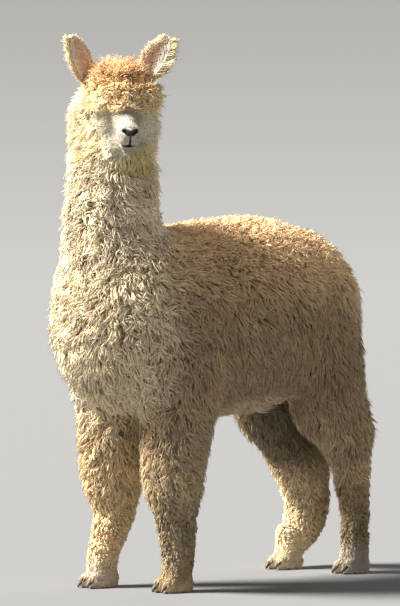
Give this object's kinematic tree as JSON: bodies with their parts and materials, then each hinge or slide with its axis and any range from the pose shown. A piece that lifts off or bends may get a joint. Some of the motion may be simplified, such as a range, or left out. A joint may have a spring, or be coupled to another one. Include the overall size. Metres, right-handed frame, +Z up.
{
  "type": "alpaca",
  "caption": "Standing alpaca in full fleece, a life-size still model with its head turned to its left and a woolly topknot over its eyes.",
  "frame": {"origin": "on the floor, under the middle of the animal's box", "axes": "+Z up; -Y the way the body faces, from tail to chest; +X to the animal's left, the side the head is turned to"},
  "size_m": [0.4442, 1.0092, 1.3608],
  "materials": {
    "fleece_fawn": "matte wool",
    "fleece_cream": "matte wool",
    "leg_wool": "matte wool",
    "foot_hair": "short matte hair",
    "face_hair": "short matte hair",
    "topknot_wool": "curly matte wool",
    "ear_hair": "short hair with a long fringe",
    "horn": "worn horn",
    "eye": "wet"
  },
  "bodies": {
    "root": {"trunk": "fleece_fawn", "tail": "fleece_fawn", "neck": "fleece_cream", "foreleg_left": "leg_wool", "forefoot_left": "foot_hair", "nail_fore_left_outer": "horn", "nail_fore_left_inner": "horn", "foreleg_right": "leg_wool", "forefoot_right": "foot_hair", "nail_fore_right_outer": "horn", "nail_fore_right_inner": "horn", "hindleg_left": "leg_wool", "hindfoot_left": "foot_hair", "nail_hind_left_outer": "horn", "nail_hind_left_inner": "horn", "hindleg_right": "leg_wool", "hindfoot_right": "foot_hair", "nail_hind_right_outer": "horn", "nail_hind_right_inner": "horn", "head": "face_hair", "topknot": "topknot_wool", "ear_left": "ear_hair", "ear_right": "ear_hair", "eye_left": "eye", "eye_right": "eye"}
  },
  "joints": []
}
